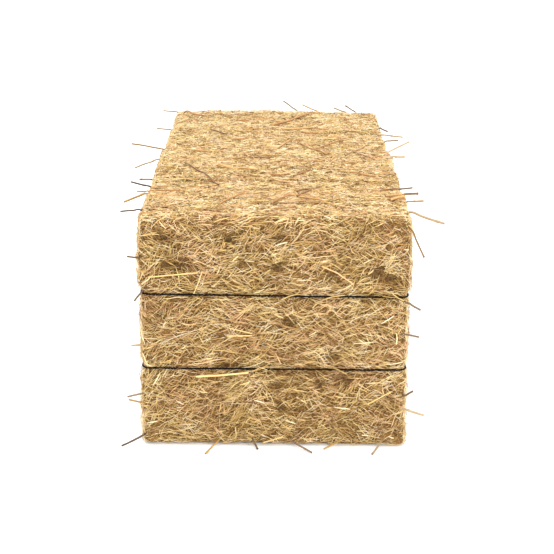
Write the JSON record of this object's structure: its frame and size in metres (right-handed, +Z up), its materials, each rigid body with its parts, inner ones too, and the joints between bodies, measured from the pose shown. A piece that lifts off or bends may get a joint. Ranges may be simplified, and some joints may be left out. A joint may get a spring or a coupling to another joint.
{
  "type": "square straw bale",
  "caption": "Small square bale of golden cereal straw: a row of pressed flakes held by level loops of black twine, with stray stalks sticking out",
  "frame": {"origin": "the middle of the bale's flat underside", "axes": "+X across the bale to the side that has the knots, +Y along it from the front end to the back, +Z up"},
  "size_m": [0.58, 1.0381, 0.4331],
  "materials": {
    "pressed_straw": "dry matted cereal straw, satin stalks over darker gaps",
    "baler_twine": "black fibrous polypropylene twine",
    "loose_stalk": "dry straw stalk with a satin skin"
  },
  "bodies": {
    "root": {"flake_01": "pressed_straw", "flake_02": "pressed_straw", "flake_03": "pressed_straw", "flake_04": "pressed_straw", "flake_05": "pressed_straw", "flake_06": "pressed_straw", "flake_07": "pressed_straw", "flake_08": "pressed_straw", "flake_09": "pressed_straw", "flake_10": "pressed_straw", "flake_11": "pressed_straw", "twine_lower": "baler_twine", "twine_upper": "baler_twine", "stray_stalk_01": "loose_stalk", "stray_stalk_02": "loose_stalk", "stray_stalk_03": "loose_stalk", "stray_stalk_04": "loose_stalk", "stray_stalk_05": "loose_stalk", "stray_stalk_06": "loose_stalk", "stray_stalk_07": "loose_stalk", "stray_stalk_08": "loose_stalk", "stray_stalk_09": "loose_stalk", "stray_stalk_10": "loose_stalk", "stray_stalk_11": "loose_stalk", "stray_stalk_12": "loose_stalk", "stray_stalk_13": "loose_stalk", "stray_stalk_14": "loose_stalk", "stray_stalk_15": "loose_stalk", "stray_stalk_16": "loose_stalk", "stray_stalk_17": "loose_stalk", "stray_stalk_18": "loose_stalk", "stray_stalk_19": "loose_stalk", "stray_stalk_20": "loose_stalk", "stray_stalk_21": "loose_stalk", "stray_stalk_22": "loose_stalk", "stray_stalk_23": "loose_stalk", "stray_stalk_24": "loose_stalk", "stray_stalk_25": "loose_stalk", "stray_stalk_26": "loose_stalk", "stray_stalk_27": "loose_stalk", "stray_stalk_28": "loose_stalk", "stray_stalk_29": "loose_stalk", "stray_stalk_30": "loose_stalk", "stray_stalk_31": "loose_stalk", "stray_stalk_32": "loose_stalk", "stray_stalk_33": "loose_stalk", "stray_stalk_34": "loose_stalk", "stray_stalk_35": "loose_stalk", "stray_stalk_36": "loose_stalk", "stray_stalk_37": "loose_stalk", "stray_stalk_38": "loose_stalk", "stray_stalk_39": "loose_stalk", "stray_stalk_40": "loose_stalk", "stray_stalk_41": "loose_stalk", "stray_stalk_42": "loose_stalk", "stray_stalk_43": "loose_stalk", "stray_stalk_44": "loose_stalk"}
  },
  "joints": []
}
